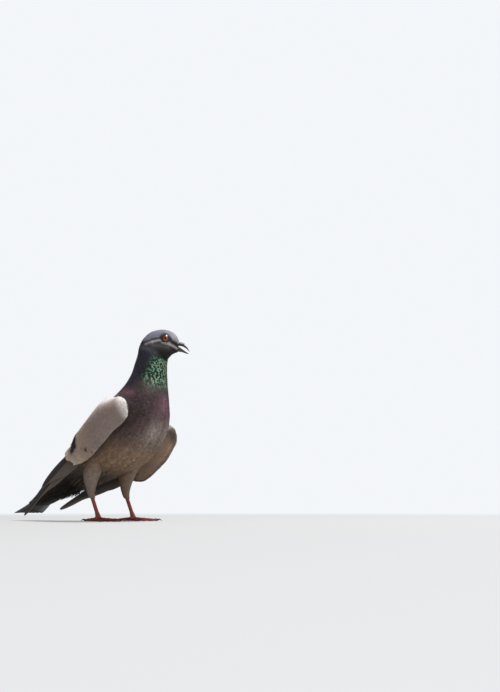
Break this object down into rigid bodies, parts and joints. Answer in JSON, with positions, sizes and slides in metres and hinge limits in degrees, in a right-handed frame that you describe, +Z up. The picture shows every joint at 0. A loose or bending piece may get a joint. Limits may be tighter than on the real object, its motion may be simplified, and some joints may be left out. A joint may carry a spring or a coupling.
{
  "type": "pigeon",
  "caption": "Life-size still model of a standing feral pigeon, upright with raised neck, turned head, slightly parted bill and lowered wings held clear of the body.",
  "frame": {"origin": "on the floor, under the middle of the bird's bounding box", "axes": "the bird's breast faces -Y and its tail +Y, its left side is +X, up is +Z"},
  "size_m": [0.1162, 0.228, 0.2219],
  "materials": {
    "slate": "soft matte head feathers, slate blue-grey",
    "neck_green": "glossy neck feathers, green over purple",
    "body_grey": "soft matte body feathers, warm grey",
    "wing_grey": "matte wing coverts, pale bluish grey",
    "flight_grey": "matte flight feathers, dark grey-brown",
    "tail_grey": "matte tail feathers, dark grey",
    "leg_red": "scaly bare skin, dull red",
    "bill_black": "smooth horn, black, satin",
    "cere_white": "bare powdery skin, whitish",
    "eye_orange": "wet eye, orange-red, high gloss",
    "claw_black": "horn, near black, satin"
  },
  "bodies": {
    "root": {"bill_lower": "bill_black", "bill_upper": "bill_black", "cere": "cere_white", "claw_hind_left": "claw_black", "claw_hind_right": "claw_black", "claw_inner_left": "claw_black", "claw_inner_right": "claw_black", "claw_middle_left": "claw_black", "claw_middle_right": "claw_black", "claw_outer_left": "claw_black", "claw_outer_right": "claw_black", "eye_left": "eye_orange", "eye_right": "eye_orange", "foot_left": "leg_red", "foot_right": "leg_red", "head": "slate", "neck": "neck_green", "primaries_left": "flight_grey", "primaries_right": "flight_grey", "secondaries_left": "flight_grey", "secondaries_right": "flight_grey", "shank_left": "leg_red", "shank_right": "leg_red", "tail": "tail_grey", "tail_coverts": "tail_grey", "thigh_left": "body_grey", "thigh_right": "body_grey", "toe_hind_left": "leg_red", "toe_hind_right": "leg_red", "toe_inner_left": "leg_red", "toe_inner_right": "leg_red", "toe_middle_left": "leg_red", "toe_middle_right": "leg_red", "toe_outer_left": "leg_red", "toe_outer_right": "leg_red", "trunk": "body_grey", "wing_coverts_left": "wing_grey", "wing_coverts_right": "wing_grey"}
  },
  "joints": []
}
